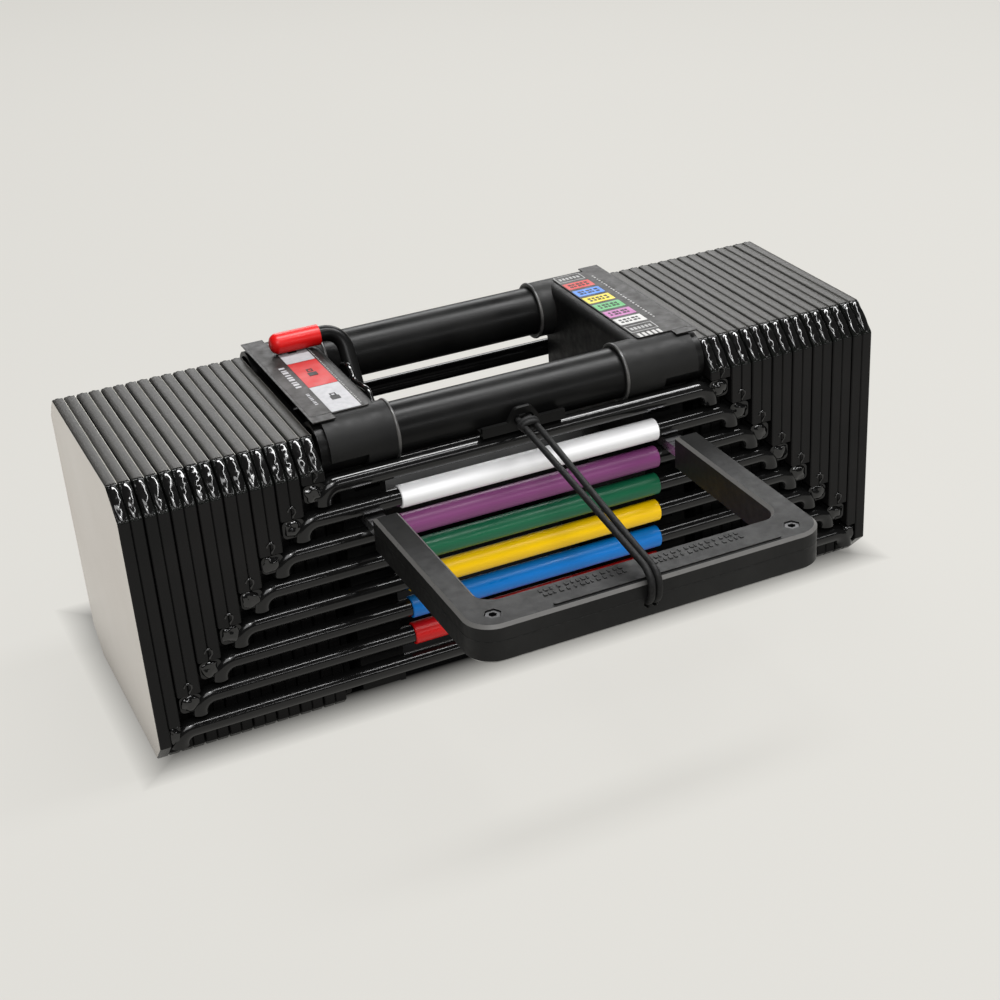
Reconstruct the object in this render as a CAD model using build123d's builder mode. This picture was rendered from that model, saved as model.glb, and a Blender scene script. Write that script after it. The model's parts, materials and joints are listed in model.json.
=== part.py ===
"""Adjustable dumbbell: nested plate pairs round a gripped core, chosen with a sliding U-shaped pin.

The block is drawn about its own middle: +X along its length, -Y towards the selector pin's side, and +Z up
from the floor. Each piece is then set back along +Y, so that the origin is under the middle of the whole
object, its pin included. Millimetres.
"""

import os
from math import atan2, degrees, hypot, pi, radians, tan

from build123d import *

# ---------------------------------------------------------------- driving dimensions

block_length = 419.0
block_width = 140.0
block_height = 156.0
plate_corner = 14.0
plate_corner_radius = 3.0
plate_edge = 0.5

pair_count = 8
plate_thick = 5.9
plate_seam = 0.2
pair_gap = 0.8
front_recess = 10.5
ledge_gap = 0.6

rod_radius = 4.75
rod_bend = 8.0
rod_drop = 8.6
lowest_rail_z = 19.0
rail_pitch = 16.1
weld_top = 4.0
weld_bottom = 5.5
weld_corner = 2.5
weld_overlap = 1.0
weld_front_gap = 2.0

sleeve_radius = 5.9
sleeve_bore = 4.8
sleeve_half = 73.0
sleeve_middle_x = 3.0
sleeve_edge = 0.4
sleeve_colours = {2: "white", 3: "purple", 4: "green", 5: "yellow", 6: "blue", 7: "red"}

tube_y = 51.0
tube_z = 146.2
tube_radius = 13.5
tube_bore = 11.2
adder_radius = 10.9
adder_half = 100.0

end_plate_thick = 3.0
end_plate_gap = 1.0
end_plate_half_width = 58.0
end_plate_top = 153.0
end_plate_foot = 1.0
end_plate_foot_radius = 10.0

collar_radius = 15.5
left_collar_inner_x = 65.8
right_collar_inner_x = 60.0
collar_outer_x = 102.5
top_inner_x = 70.0
wall_inner_x = 73.5
wall_thick = 3.0
channel_half_width = 57.5
channel_foot = 4.0
channel_top = 129.0
web_inner_x = 94.5
flange_thick = 6.0
slot_half_height = 3.2
slot_outer_x = 89.8
housing_edge = 5.0
housing_roof = 3.0
relief_inner_x = 83.0
relief_y = 59.75
relief_width = 13.5
relief_height = 12.5
rail_clearance = 0.8

grip_z = 83.4
grip_bar_radius = 4.8
grip_tube_radius = 11.0
grip_sleeve_radius = 15.5
grip_sleeve_half = 62.0
grip_sleeve_edge = 2.5
screw_radius = 2.5
screw_head_radius = 4.6
screw_length = 14.0
screw_tip_gap = 1.0

label_thick = 0.6
label_inner_x = 75.0
label_wide_x = 95.0
label_half_width = 57.0
label_corner = 2.0

lever_z = 115.6
cap_y = 33.0
cap_z = 168.4
cap_radius = 5.5
cap_inner_x = 71.0
cap_outer_x = 98.0
cap_end_thick = 3.0
cap_round = 4.5
lever_rod_radius = 4.25
lever_bend = 10.0
lever_foot = 9.0
gate_thick = 2.5
gate_x = 62.7
gate_hub_radius = 9.0
gate_corner = 3.0
gate_shoulders = [(24, 30), (20, 39), (10, 42), (3, 36), (-17, 39), (-24, 32)]
bolt_radius = 3.0
bolt_head_radius = 4.8
bolt_head_thick = 3.0
boss_radius = 7.0
boss_gap = 0.3

pin_z = 107.55
pin_front = 206.0
pin_half_width = 91.0
arm_width = 13.5
handle_depth = 22.5
arm_end = 84.0
pin_bottom = 99.0
pin_top = 118.5
pin_corner = 14.0
pin_window_corner = 9.0
pin_edge = 1.5
fork_thick = 5.4
fork_outer_x = 89.0
fork_inner_x = 79.5
fork_front = 199.9
fork_bar_depth = 14.0
fork_corner = 11.0
fork_window_corner = 5.0
fork_tip = 58.0
fork_tip_radius = 4.0
pin_screw_x = 77.5
pin_screw_y = 195.0
pin_screw_radius = 2.0
pin_screw_inset = 0.5
pin_nut_radius = 3.8
pin_nut_depth = 3.0
nut_gap = 0.4
socket_depth = 2.0
magnet_radius = 2.2
magnet_length = 6.0
magnet_gap = 0.2
magnet_wall = 1.0
ridge_length = 118.0
ridge_width = 2.4
ridge_height = 0.8
ridge_x = 8.0
ridge_inset = 4.0

cord_radius = 1.7
cord_hole_radius = 2.1
cord_hole_depth = 6.0
cord_z = 106.8
cord_offset = 1.9
cord_x = -4.0
cord_loop_top = 124.4
cord_at_tab = 3.1

tab_x = -1.5
tab_front = 71.0
tab_thick = 2.5
tab_foot_z = 138.0
tab_shoulder_z = 143.2
tab_top_z = 150.2
tab_half_width = 23.0
tab_hump_foot = 9.0
tab_hump_top = 4.5
tab_corner = 3.0
tab_hole_z = 144.0
tab_hole_length = 11.0
tab_hole_height = 5.0

fit_gap = 0.05
loose_gap = 0.1
cutter_overshoot = 1.0

# ---------------------------------------------------------------- sizes worked out from those

half_length = block_length / 2
half_width = block_width / 2
pair_pitch = 2 * plate_thick + plate_seam + pair_gap
recess_y = half_width - front_recess
rod_y = half_width - rod_radius
core_half = half_length - (pair_count - 1) * pair_pitch - 2 * plate_thick - plate_seam
end_plate_outer = core_half - end_plate_gap
end_plate_inner = end_plate_outer - end_plate_thick
housing_top = tube_z + collar_radius
wall_outer_x = wall_inner_x + wall_thick
pin_split = pin_z + fork_thick / 2
set_back = Location((0, (pin_front - half_width) / 2, 0))


def pair_outer(pair):
    """Distance from the middle to the outer face of a pair's plates. Pair 1 is the innermost."""
    return half_length - (pair_count - pair) * pair_pitch


def rail_z(pair):
    """Height of a pair's rails. The outermost pair has the lowest ones."""
    return lowest_rail_z + rail_pitch * (pair_count - pair)


def face_plane(y):
    """Upright plane across the block at y, seen from the pin's side."""
    return Plane(origin=(0, y, 0), x_dir=(1, 0, 0), z_dir=(0, -1, 0))


def save(built, name):
    """Sets a finished piece back to the object's frame, names it and writes it."""
    piece = built.part.moved(set_back)
    piece.label = name
    export_step(piece, f"parts/{name}.step")


os.makedirs("parts", exist_ok=True)

# ---------------------------------------------------------------- plate pairs


def plate_outline(pair, recessed):
    """One plate seen from the end: full width above its own rail, narrower below it."""
    low = recess_y if recessed else half_width
    ledge = rail_z(pair) + rod_radius + ledge_gap
    flat_half = half_width - plate_corner
    right = [(flat_half, 0), (low, low - flat_half)]
    if recessed:
        right += [(low, ledge), (half_width, ledge)]
    right += [(half_width, block_height - plate_corner), (half_width - plate_corner, block_height)]
    return right + [(-y, z) for y, z in reversed(right)]


def build_plates(pair, side):
    """The two welded plates on one side of a pair."""
    with BuildPart() as plates:
        for index in range(2):
            outer = pair_outer(pair) - index * (plate_thick + plate_seam)
            start = outer - plate_thick if side > 0 else -outer
            recessed = pair < pair_count or index > 0
            with BuildSketch(Plane.YZ.offset(start)) as face:
                with BuildLine():
                    Polyline(*plate_outline(pair, recessed), close=True)
                make_face()
                corners = face.vertices().filter_by_position(Axis.Y, block_height / 2, block_height)
                top_corners = corners.group_by(Axis.Y)[-1] + corners.group_by(Axis.Y)[-2]
                fillet(top_corners, radius=plate_corner_radius)
            extrude(amount=plate_thick)
        chamfer(plates.edges().filter_by(Axis.X, reverse=True), length=plate_edge)
    return plates


def build_rails(pair):
    """A pair's front and back rods, bent down at their ends and welded to the plates."""
    z = rail_z(pair)
    leg_x = pair_outer(pair) - plate_thick - rod_radius - plate_seam
    weld_outer = pair_outer(pair) - (plate_thick + plate_seam if pair == pair_count else pair_gap)
    weld_width = weld_outer - leg_x + weld_overlap
    with BuildPart() as rails:
        with BuildLine(face_plane(-rod_y)) as path:
            FilletPolyline(
                (-leg_x, z - rod_drop), (-leg_x, z), (leg_x, z), (leg_x, z - rod_drop), radius=rod_bend
            )
        with BuildSketch(Plane(origin=path.line @ 0, z_dir=path.line % 0)):
            Circle(rod_radius)
        sweep(path=path.line)
        with BuildSketch(face_plane(-recess_y)):
            for side in (-1, 1):
                with Locations((side * (weld_outer - weld_width / 2), z + (weld_top - weld_bottom) / 2)):
                    RectangleRounded(weld_width, weld_top + weld_bottom, weld_corner)
        extrude(amount=front_recess - weld_front_gap)
        mirror(about=Plane.XZ)
    return rails


def build_sleeve(pair):
    """The coloured sleeve pushed over the middle of a pair's front rail."""
    with BuildPart() as sleeve:
        with BuildSketch(Plane.YZ.offset(sleeve_middle_x - sleeve_half)):
            with Locations((-rod_y, rail_z(pair))):
                Circle(sleeve_radius)
                Circle(sleeve_bore, mode=Mode.SUBTRACT)
        extrude(amount=2 * sleeve_half)
        chamfer(sleeve.edges().filter_by(GeomType.CIRCLE).sort_by(SortBy.RADIUS)[-2:], length=sleeve_edge)
    return sleeve


for pair in range(1, pair_count + 1):
    save(build_plates(pair, -1), f"pair_{pair}_left_plates")
    save(build_plates(pair, 1), f"pair_{pair}_right_plates")
    save(build_rails(pair), f"pair_{pair}_rails")
for pair, colour in sleeve_colours.items():
    save(build_sleeve(pair), f"{colour}_rail_sleeve")

# ---------------------------------------------------------------- core: end plates, tubes and grip


def build_end_plate(side, bored):
    """Steel cheek that closes one end of the core. The bored one lets the adder weights out."""
    with BuildPart() as cheek:
        start = end_plate_inner if side > 0 else -end_plate_outer
        with BuildSketch(Plane.YZ.offset(start)) as face:
            with BuildLine():
                Polyline(
                    (end_plate_half_width, end_plate_foot),
                    (end_plate_half_width, end_plate_top - plate_corner),
                    (end_plate_half_width - plate_corner, end_plate_top),
                    (plate_corner - end_plate_half_width, end_plate_top),
                    (-end_plate_half_width, end_plate_top - plate_corner),
                    (-end_plate_half_width, end_plate_foot),
                    close=True,
                )
            make_face()
            fillet(face.vertices().group_by(Axis.Y)[0], radius=end_plate_foot_radius)
            with Locations((-tube_y, tube_z), (tube_y, tube_z)):
                Circle(tube_radius)
                if bored:
                    Circle(tube_bore, mode=Mode.SUBTRACT)
        extrude(amount=end_plate_thick)
        with Locations(Plane(origin=(side * end_plate_outer, 0, grip_z), z_dir=(side, 0, 0))):
            CounterSinkHole(screw_radius, screw_head_radius + fit_gap, end_plate_thick)
    return cheek


save(build_end_plate(-1, bored=True), "left_end_plate")
save(build_end_plate(1, bored=False), "right_end_plate")


def build_tube(y, z, outer, inner, half):
    """A tube, or a solid bar where inner is 0, lying along the block."""
    with BuildPart() as tube:
        with BuildSketch(Plane.YZ.offset(-half)):
            with Locations((y, z)):
                Circle(outer)
                if inner:
                    Circle(inner, mode=Mode.SUBTRACT)
        extrude(amount=2 * half)
    return tube


for place, side in (("front", -1), ("back", 1)):
    save(build_tube(side * tube_y, tube_z, tube_radius, tube_bore, end_plate_inner), f"{place}_tube")
    save(build_tube(side * tube_y, tube_z, adder_radius, 0, adder_half), f"{place}_adder_weight")

with BuildPart() as grip_bar:
    with BuildSketch(Plane.YZ.offset(-end_plate_inner)):
        with Locations((0, grip_z)):
            Circle(grip_bar_radius)
    extrude(amount=2 * end_plate_inner)
    for side in (-1, 1):
        with Locations(Plane(origin=(side * end_plate_inner, 0, grip_z), z_dir=(side, 0, 0))):
            Hole(screw_radius, screw_length)
save(grip_bar, "grip_bar")

save(build_tube(0, grip_z, grip_tube_radius, grip_bar_radius + fit_gap, wall_inner_x), "grip_tube")

with BuildPart() as grip_sleeve:
    with BuildSketch(Plane.YZ.offset(-grip_sleeve_half)):
        with Locations((0, grip_z)):
            Circle(grip_sleeve_radius)
            Circle(grip_tube_radius + fit_gap, mode=Mode.SUBTRACT)
    extrude(amount=2 * grip_sleeve_half)
    rims = grip_sleeve.edges().filter_by(GeomType.CIRCLE).sort_by(SortBy.RADIUS)
    fillet(rims[-2:], radius=grip_sleeve_edge)
save(grip_sleeve, "grip_sleeve")

with BuildPart() as grip_screws:
    screw_tip = end_plate_inner - screw_length + screw_tip_gap
    for side in (-1, 1):
        with BuildSketch(Plane.XY.offset(grip_z)):
            with BuildLine():
                Polyline(
                    (side * end_plate_outer, 0),
                    (side * end_plate_outer, screw_head_radius),
                    (side * (end_plate_outer - screw_head_radius + screw_radius), screw_radius),
                    (side * screw_tip, screw_radius),
                    (side * screw_tip, 0),
                    close=True,
                )
            make_face()
        revolve(axis=Axis((0, 0, grip_z), (1, 0, 0)))
save(grip_screws, "grip_screws")

# ---------------------------------------------------------------- core: housings and slotted channels


def build_housing(side):
    """Moulded end housing: a hollow top block, two collars round the tubes, and a wall beside the hand."""
    collar_inner_x = left_collar_inner_x if side < 0 else right_collar_inner_x
    with BuildPart() as housing:
        with BuildSketch(Plane.YZ.offset(top_inner_x)):
            with BuildLine():
                Polyline(
                    (-tube_y, housing_top),
                    (tube_y, housing_top),
                    (tube_y, channel_top + fit_gap),
                    (-tube_y, channel_top + fit_gap),
                    close=True,
                )
            make_face()
        extrude(amount=end_plate_inner - top_inner_x)
        top_edges = housing.edges().filter_by(Axis.Y).group_by(Axis.Z)[-1]
        fillet(top_edges.sort_by(Axis.X)[0], radius=housing_edge)
        with BuildSketch(Plane.YZ.offset(wall_inner_x)):
            with Locations((0, (channel_foot + channel_top) / 2)):
                Rectangle(2 * channel_half_width, channel_top - channel_foot + cutter_overshoot)
        extrude(amount=wall_thick)
        with BuildSketch(Plane.YZ.offset(collar_inner_x)):
            with Locations((-tube_y, tube_z), (tube_y, tube_z)):
                Circle(collar_radius)
        extrude(amount=collar_outer_x - collar_inner_x)
        with Locations((wall_outer_x, 0, (channel_top + housing_top) / 2 - housing_roof)):
            Box(
                end_plate_inner - wall_outer_x + cutter_overshoot,
                2 * (tube_y - collar_radius),
                housing_top - channel_top,
                align=(Align.MIN, Align.CENTER, Align.CENTER),
                mode=Mode.SUBTRACT,
            )
        with BuildSketch(Plane.YZ.offset(collar_inner_x - cutter_overshoot)):
            with Locations((-tube_y, tube_z), (tube_y, tube_z)):
                Circle(tube_radius + loose_gap)
            with Locations((-rod_y, rail_z(1)), (rod_y, rail_z(1))):
                Circle(rod_radius + rail_clearance)
            with Locations((0, grip_z)):
                Circle(grip_bar_radius + loose_gap)
        extrude(amount=end_plate_inner, mode=Mode.SUBTRACT)
        for front in (-1, 1):
            with Locations((relief_inner_x, front * relief_y, tube_z - collar_radius)):
                Box(
                    collar_outer_x - relief_inner_x + cutter_overshoot,
                    relief_width,
                    relief_height,
                    align=(Align.MIN, Align.CENTER, Align.MIN),
                    mode=Mode.SUBTRACT,
                )
        if side < 0:
            with BuildSketch(Plane.YZ.offset(gate_x + gate_thick + boss_gap)):
                with Locations((0, lever_z)):
                    Circle(boss_radius)
            extrude(amount=wall_inner_x - gate_x - gate_thick)
            with BuildSketch(Plane.YZ.offset(gate_x)):
                with Locations((0, lever_z)):
                    Circle(bolt_radius + loose_gap)
            extrude(amount=wall_outer_x - gate_x + cutter_overshoot, mode=Mode.SUBTRACT)
    if side > 0:
        return housing
    with BuildPart() as mirrored:
        mirror(housing.part, about=Plane.YZ)
    return mirrored


def build_channel(side):
    """Slotted channel of one end: its combs carry the pin's tines at any of eight heights."""
    height = channel_top - channel_foot
    middle = (channel_top + channel_foot) / 2
    with BuildPart() as channel:
        with Locations((side * (web_inner_x + wall_thick / 2), 0, middle)):
            Box(wall_thick, 2 * channel_half_width, height)
        flange_width = web_inner_x - wall_outer_x - loose_gap
        for front in (-1, 1):
            y = front * (channel_half_width - flange_thick / 2)
            with Locations((side * (web_inner_x - flange_width / 2), y, middle)):
                Box(flange_width, flange_thick, height)
        slot_width = slot_outer_x - wall_outer_x + cutter_overshoot
        for pair in range(1, pair_count + 1):
            with Locations((side * (slot_outer_x - slot_width / 2), 0, rail_z(pair) - rail_pitch / 2)):
                Box(slot_width, 2 * half_width, 2 * slot_half_height, mode=Mode.SUBTRACT)
        with BuildSketch(Plane.YZ.offset(side * (web_inner_x + wall_thick / 2))):
            with Locations((0, grip_z)):
                Circle(grip_bar_radius + loose_gap)
        extrude(amount=wall_thick, both=True, mode=Mode.SUBTRACT)
    return channel


for place, side in (("left", -1), ("right", 1)):
    save(build_housing(side), f"{place}_housing")
    save(build_channel(side), f"{place}_slot_channel")
    with BuildPart() as label:
        with BuildSketch(Plane.XY.offset(housing_top)):
            with Locations((side * (label_inner_x + end_plate_outer) / 2, 0)):
                RectangleRounded(end_plate_outer - label_inner_x, 2 * tube_y, label_corner)
            with Locations((side * (label_wide_x + end_plate_outer) / 2, 0)):
                Rectangle(end_plate_outer - label_wide_x, 2 * label_half_width)
        extrude(amount=label_thick)
    save(label, f"{place}_label_plate")

# ---------------------------------------------------------------- core: lanyard tab

with BuildPart() as lanyard_tab:
    with BuildSketch(face_plane(-tab_front)) as tab_face:
        with BuildLine():
            Polyline(
                (tab_x - tab_half_width, tab_foot_z),
                (tab_x - tab_half_width, tab_shoulder_z),
                (tab_x - tab_hump_foot, tab_shoulder_z),
                (tab_x - tab_hump_top, tab_top_z),
                (tab_x + tab_hump_top, tab_top_z),
                (tab_x + tab_hump_foot, tab_shoulder_z),
                (tab_x + tab_half_width, tab_shoulder_z),
                (tab_x + tab_half_width, tab_foot_z),
                close=True,
            )
        make_face()
        fillet(tab_face.vertices().group_by(Axis.Y)[-1], radius=tab_corner)
        with Locations((tab_x, tab_hole_z)):
            SlotOverall(tab_hole_length, tab_hole_height, mode=Mode.SUBTRACT)
    extrude(amount=-tab_thick)
    with Locations((tab_x, -tube_y, tab_foot_z)):
        Box(2 * tab_half_width, tab_front - tube_y, tab_thick, align=(Align.CENTER, Align.MAX, Align.MIN))
    with BuildSketch(Plane.YZ.offset(-block_width)):
        with Locations((-tube_y, tube_z)):
            Circle(tube_radius)
    extrude(amount=2 * block_width, mode=Mode.SUBTRACT)
save(lanyard_tab, "lanyard_tab")

# ---------------------------------------------------------------- lock lever

reach = (cap_y, cap_z - lever_z)
reach_length = hypot(*reach)
lever_swing = 2 * degrees(atan2(*reach))
lever_x = gate_x - lever_rod_radius
foot = [lever_foot * part / reach_length for part in reach]

with BuildPart() as lever_rod:
    with BuildLine() as lever_path:
        FilletPolyline(
            (-lever_x, foot[0], lever_z + foot[1]),
            (-lever_x, cap_y, cap_z),
            (cap_end_thick - cap_outer_x, cap_y, cap_z),
            radius=lever_bend,
        )
    with BuildSketch(Plane(origin=lever_path.line @ 0, z_dir=lever_path.line % 0)):
        Circle(lever_rod_radius)
    sweep(path=lever_path.line)
save(lever_rod, "lever_rod")

with BuildPart() as lever_cap:
    with BuildSketch(Plane.YZ.offset(-cap_outer_x)):
        with Locations((cap_y, cap_z)):
            Circle(cap_radius)
    extrude(amount=cap_outer_x - cap_inner_x)
    fillet(lever_cap.edges().filter_by(GeomType.CIRCLE).sort_by(Axis.X)[0], radius=cap_round)
    with BuildSketch(Plane.YZ.offset(cap_end_thick - cap_outer_x)):
        with Locations((cap_y, cap_z)):
            Circle(lever_rod_radius + fit_gap)
    extrude(amount=cap_outer_x, mode=Mode.SUBTRACT)
save(lever_cap, "lever_cap")

with BuildPart() as lock_gate:
    with BuildSketch(Plane.YZ.offset(-gate_x - gate_thick)) as gate_face:
        with BuildLine():
            Polyline(
                (gate_hub_radius, lever_z),
                *[(y, lever_z + rise) for y, rise in gate_shoulders],
                (-gate_hub_radius, lever_z),
                close=True,
            )
        make_face()
        fillet(gate_face.vertices().group_by(Axis.Y)[-1], radius=gate_corner)
        with Locations((0, lever_z)):
            Circle(gate_hub_radius)
            Circle(bolt_radius + fit_gap, mode=Mode.SUBTRACT)
    extrude(amount=gate_thick)
save(lock_gate, "lock_gate")

with BuildPart() as pivot_bolt:
    with BuildSketch(Plane.YZ.offset(-gate_x)):
        with Locations((0, lever_z)):
            Circle(bolt_head_radius)
    extrude(amount=bolt_head_thick)
    with BuildSketch(Plane.YZ.offset(-gate_x)):
        with Locations((0, lever_z)):
            Circle(bolt_radius)
    extrude(amount=gate_x - wall_outer_x - bolt_head_thick - loose_gap)
    with BuildSketch(Plane.YZ.offset(-wall_outer_x)):
        with Locations((0, lever_z)):
            RegularPolygon(bolt_head_radius, 6)
    extrude(amount=-bolt_head_thick)
save(pivot_bolt, "pivot_bolt")

# ---------------------------------------------------------------- selector pin


def u_outline(outer_x, front, inner_x, inner_front, back, corner, inner_corner):
    """Face of a U that opens towards +Y, drawn on the plan: outer and inner half widths, front and back."""
    depth = front - back
    with BuildSketch() as outline:
        with Locations((0, -back - depth / 2)):
            Rectangle(2 * outer_x, depth)
        fillet(outline.vertices().group_by(Axis.Y)[0], radius=corner)
        with BuildSketch(mode=Mode.SUBTRACT) as window:
            with Locations((0, -back)):
                Rectangle(2 * inner_x, 2 * (inner_front - back))
            fillet(window.vertices().group_by(Axis.Y)[0], radius=inner_corner)
    return outline.sketch


shell_face = u_outline(
    pin_half_width,
    pin_front,
    pin_half_width - arm_width,
    pin_front - handle_depth,
    arm_end,
    pin_corner,
    pin_window_corner,
)
fork_face = u_outline(
    fork_outer_x,
    fork_front,
    fork_inner_x,
    fork_front - fork_bar_depth,
    -fork_tip,
    fork_corner,
    fork_window_corner,
)
pocket_face = u_outline(
    fork_outer_x + fit_gap,
    fork_front + fit_gap,
    fork_inner_x - fit_gap,
    fork_front - fork_bar_depth - fit_gap,
    -fork_tip,
    fork_corner,
    fork_window_corner,
)
screw_spots = [(-pin_screw_x, -pin_screw_y), (pin_screw_x, -pin_screw_y)]
magnet_spots = [
    (side * (pin_half_width - arm_width / 2), z)
    for side in (-1, 1)
    for z in (pin_bottom + magnet_radius + magnet_wall, pin_top - magnet_radius - magnet_wall)
]


def build_shell(up):
    """Upper cover (up = 1) or lower tray (up = -1) of the pin's handle. The fork lies in the tray."""
    outside = pin_top if up > 0 else pin_bottom
    with BuildPart() as shell:
        with BuildSketch(Plane.XY.offset(pin_split)):
            add(shell_face)
        extrude(amount=outside - pin_split)
        rim = shell.faces().sort_by(Axis.Z)[-1 if up > 0 else 0].edges()
        chamfer(rim, length=pin_edge)
        with BuildSketch(Plane.XY.offset(pin_split)):
            with Locations(*screw_spots):
                Circle(pin_screw_radius + fit_gap)
        extrude(amount=up * pin_top, mode=Mode.SUBTRACT)
        with BuildSketch(Plane.XY.offset(outside)):
            with Locations(*screw_spots):
                RegularPolygon(pin_nut_radius + nut_gap, 6)
        extrude(amount=-up * (pin_nut_depth + pin_screw_inset + loose_gap), mode=Mode.SUBTRACT)
        with BuildSketch(face_plane(-arm_end)):
            with Locations(*magnet_spots):
                Circle(magnet_radius)
        extrude(amount=magnet_length, mode=Mode.SUBTRACT)
        if up > 0:
            with BuildSketch(Plane.XY.offset(pin_top)):
                with Locations((ridge_x, ridge_inset - pin_front)):
                    SlotOverall(ridge_length, ridge_width)
            extrude(amount=ridge_height)
        else:
            with BuildSketch(Plane.XY.offset(pin_split)):
                add(pocket_face)
            extrude(amount=-(fork_thick + fit_gap), mode=Mode.SUBTRACT)
            with BuildSketch(face_plane(-pin_front)):
                with Locations((cord_x - cord_offset, cord_z), (cord_x + cord_offset, cord_z)):
                    Circle(cord_hole_radius)
            extrude(amount=-cord_hole_depth, mode=Mode.SUBTRACT)
    return shell


save(build_shell(1), "pin_upper_shell")
save(build_shell(-1), "pin_lower_shell")

with BuildPart() as pin_fork:
    with BuildSketch(Plane.XY.offset(pin_z - fork_thick / 2)):
        add(fork_face)
        with Locations(*screw_spots):
            Circle(pin_screw_radius + fit_gap, mode=Mode.SUBTRACT)
    extrude(amount=fork_thick)
    tips = pin_fork.edges().filter_by(Axis.Z).group_by(Axis.Y)[-1]
    fillet(tips, radius=fork_tip_radius)
save(pin_fork, "pin_fork")

with BuildPart() as pin_screws:
    with BuildSketch(Plane.XY.offset(pin_top - pin_screw_inset)):
        with Locations(*screw_spots):
            RegularPolygon(pin_nut_radius, 6)
    extrude(amount=-pin_nut_depth)
    with BuildSketch(Plane.XY.offset(pin_top - pin_screw_inset)):
        with Locations(*screw_spots):
            Circle(pin_screw_radius)
    extrude(amount=pin_bottom - pin_top + 3 * pin_screw_inset)
    with BuildSketch(Plane.XY.offset(pin_top - pin_screw_inset)):
        with Locations(*screw_spots):
            RegularPolygon(pin_screw_radius, 6)
    extrude(amount=-socket_depth, mode=Mode.SUBTRACT)
save(pin_screws, "pin_screws")

with BuildPart() as pin_nuts:
    with BuildSketch(Plane.XY.offset(pin_bottom + pin_screw_inset)):
        with Locations(*screw_spots):
            RegularPolygon(pin_nut_radius, 6)
            Circle(pin_screw_radius + fit_gap, mode=Mode.SUBTRACT)
    extrude(amount=pin_nut_depth)
save(pin_nuts, "pin_nuts")

with BuildPart() as pin_magnets:
    with BuildSketch(face_plane(-arm_end)):
        with Locations(*magnet_spots):
            Circle(magnet_radius)
    extrude(amount=magnet_length - magnet_gap)
save(pin_magnets, "pin_magnets")

# ---------------------------------------------------------------- elastic lanyard

cord_left = [
    (cord_x - cord_offset, cord_hole_depth - pin_front, cord_z),
    (cord_x - cord_offset, -209.4, cord_z),
    (cord_x - cord_offset, -210.6, cord_loop_top),
    (tab_x - cord_at_tab, -66.5, tab_hole_z),
]


def across_tab(point):
    """The same point on the cord's other half."""
    x, y, z = point
    at_tab = y > -pin_front / 2
    return (2 * (tab_x if at_tab else cord_x) - x, y, z)


cord_route = [Vector(*point) for point in cord_left + [across_tab(p) for p in reversed(cord_left)]]


def corner_radii(points):
    """Each arc is as large as its two runs allow."""
    radii = []
    for before, corner, after in zip(points, points[1:], points[2:]):
        turn = radians((corner - before).get_angle(after - corner))
        shorter = min((corner - before).length, (after - corner).length)
        radii.append(0.45 * shorter / tan(turn / 2))
    return radii


cord_radii = corner_radii(cord_route)
with BuildPart() as lanyard:
    with BuildLine() as cord_path:
        FilletPolyline(*cord_route, radius=cord_radii)
    with BuildSketch(Plane(origin=cord_path.line @ 0, z_dir=cord_path.line % 0)):
        Circle(cord_radius)
    sweep(path=cord_path.line)
save(lanyard, "lanyard")

cord_length = cord_path.wire().length
print("cord radii", [round(radius, 1) for radius in cord_radii])
print(f"cord length {cord_length:.1f}, volume over section times length:")
print(round(lanyard.part.volume / (pi * cord_radius**2 * cord_length), 4))
print(f"lever swing {lever_swing:.1f} degrees, core half length {core_half:.1f}")
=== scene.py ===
"""Looks of the adjustable dumbbell: materials, weld beads, labels, lanyard, light and camera."""

import json
from math import cos, pi, radians, sin

import bmesh
import bpy
from mathutils import Matrix, Vector, noise


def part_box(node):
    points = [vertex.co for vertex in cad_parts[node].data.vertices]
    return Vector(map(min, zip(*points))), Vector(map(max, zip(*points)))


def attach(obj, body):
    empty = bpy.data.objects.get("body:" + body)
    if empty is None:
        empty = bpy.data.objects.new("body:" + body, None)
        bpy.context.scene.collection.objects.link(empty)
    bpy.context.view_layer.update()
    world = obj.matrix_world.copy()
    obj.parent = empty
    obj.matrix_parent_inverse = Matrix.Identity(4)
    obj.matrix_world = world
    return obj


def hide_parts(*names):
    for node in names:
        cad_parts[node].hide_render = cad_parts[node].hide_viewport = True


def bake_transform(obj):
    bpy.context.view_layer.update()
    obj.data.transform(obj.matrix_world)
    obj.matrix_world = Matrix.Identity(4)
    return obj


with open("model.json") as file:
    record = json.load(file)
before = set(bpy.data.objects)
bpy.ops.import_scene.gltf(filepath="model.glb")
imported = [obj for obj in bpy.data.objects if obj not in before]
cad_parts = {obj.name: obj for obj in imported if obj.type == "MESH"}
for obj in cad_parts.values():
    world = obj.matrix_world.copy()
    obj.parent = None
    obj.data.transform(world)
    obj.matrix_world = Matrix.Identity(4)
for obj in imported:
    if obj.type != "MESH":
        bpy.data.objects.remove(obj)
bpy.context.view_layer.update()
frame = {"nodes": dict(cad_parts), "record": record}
nodes = frame["nodes"]
scene = bpy.context.scene

MM = 0.001
PAIRS = range(1, 9)
SIDES = (("left", -1), ("right", 1))

# ---------------------------------------------------------------- places read from the frame

plate_low, plate_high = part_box("pair_8_left_plates")
middle_y = (plate_low.y + plate_high.y) / 2
half_length = -plate_low.x
ROD_RADIUS = 4.75


def rail_height(pair):
    """Height of a pair's rail line, in millimetres: its box runs from the bent tips to the rod's top."""
    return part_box(f"pair_{pair}_rails")[1].z / MM - ROD_RADIUS


def pair_edge(pair):
    """Distance from the middle to the outer face of a pair's plates, in millimetres."""
    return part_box(f"pair_{pair}_right_plates")[1].x / MM


PLATE = 5.9
SEAM = 0.2
PAIR_PITCH = pair_edge(8) - pair_edge(7)

# ---------------------------------------------------------------- material helpers


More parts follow.
